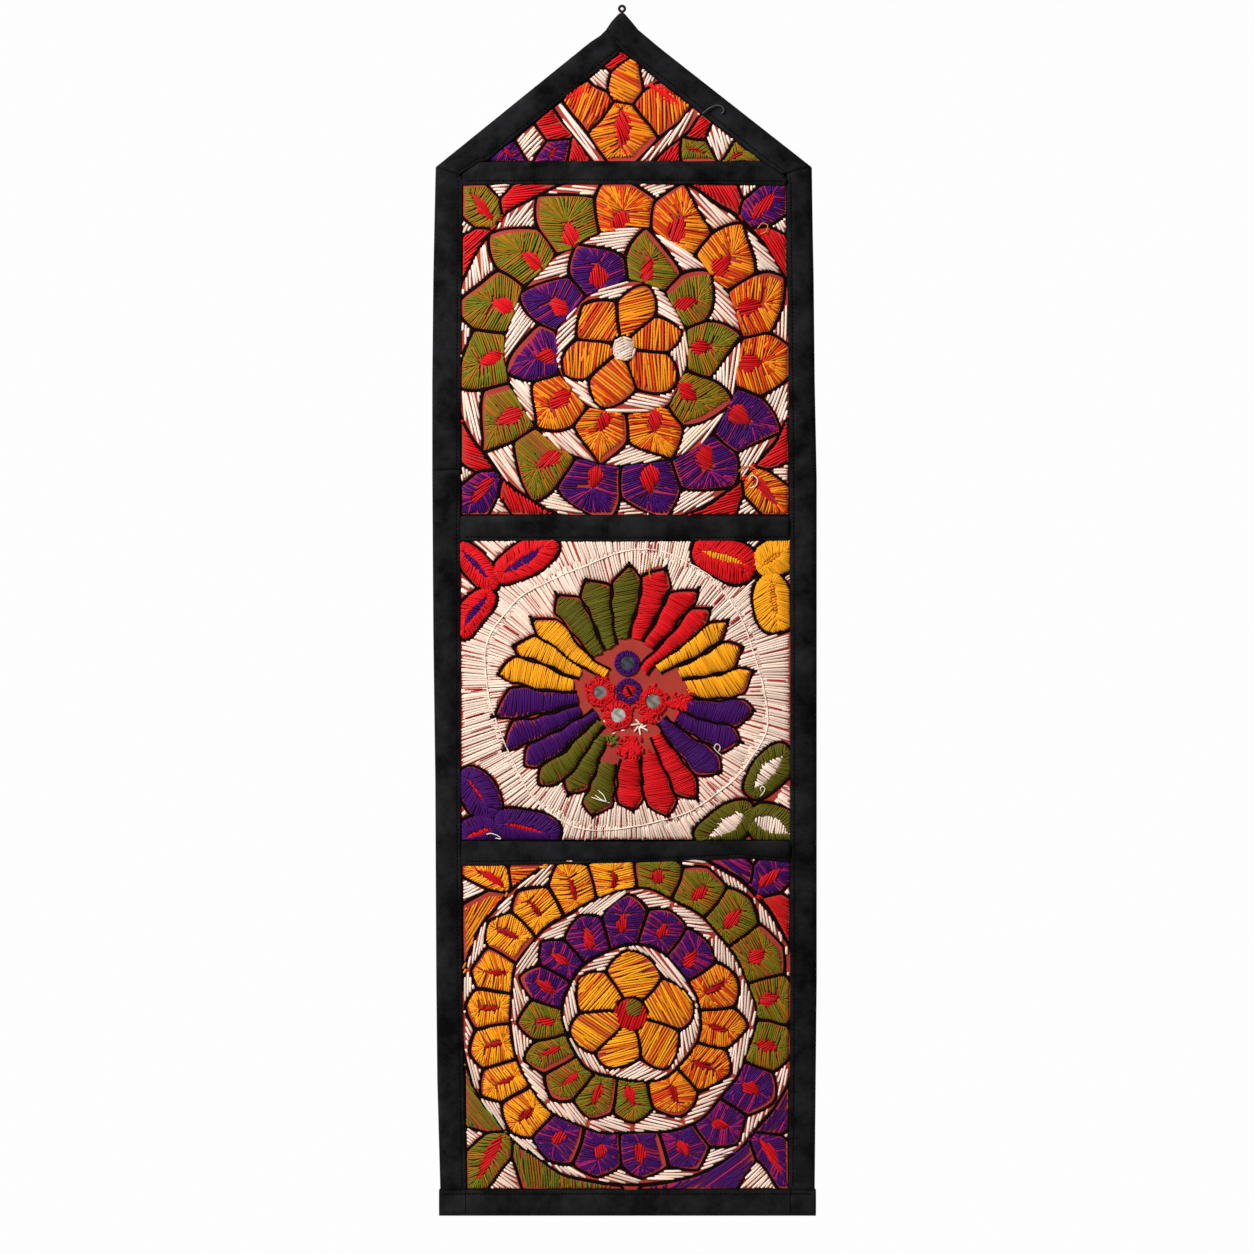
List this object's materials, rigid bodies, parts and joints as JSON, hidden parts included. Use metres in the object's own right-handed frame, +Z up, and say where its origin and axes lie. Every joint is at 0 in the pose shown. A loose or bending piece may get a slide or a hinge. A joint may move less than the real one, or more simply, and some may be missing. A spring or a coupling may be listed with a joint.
{
  "type": "embroidered wall organizer",
  "caption": "Pointed cloth wall hanging with a flat embroidered gable panel and embroidered pockets, bound in black cotton, on a small hanging loop.",
  "frame": {"origin": "centre of the hanging loop as seen from the front, on the plane of the wall behind it", "axes": "+Z up along the hanging, the front faces -Y and the wall is the plane y = 0"},
  "size_m": [0.308, 0.016, 0.97],
  "materials": {
    "black_cotton": "matt plain-woven cotton, stitched",
    "embroidered_cloth": "brick red cotton under dense embroidery",
    "loop_cord": "dark twisted thread",
    "small_mirror": "thin round mirror, a little dull",
    "thread_orange": "soft shiny embroidery thread",
    "thread_gold": "soft shiny embroidery thread",
    "thread_red": "soft shiny embroidery thread",
    "thread_purple": "soft shiny embroidery thread",
    "thread_green": "soft shiny embroidery thread",
    "thread_cream": "soft cotton embroidery thread",
    "thread_black": "dark outline thread"
  },
  "bodies": {
    "root": {"back_cloth": "black_cotton", "gable_panel": "embroidered_cloth", "pocket_1": "embroidered_cloth", "pocket_2": "embroidered_cloth", "pocket_3": "embroidered_cloth", "band_1": "black_cotton", "band_2": "black_cotton", "band_3": "black_cotton", "binding_left_upper": "black_cotton", "binding_left_lower": "black_cotton", "binding_right": "black_cotton", "binding_gable_left": "black_cotton", "binding_gable_right": "black_cotton", "binding_foot": "black_cotton", "hanging_loop": "loop_cord", "mirror_1": "small_mirror", "mirror_2": "small_mirror", "mirror_3": "small_mirror", "mirror_4": "small_mirror"}
  },
  "joints": []
}
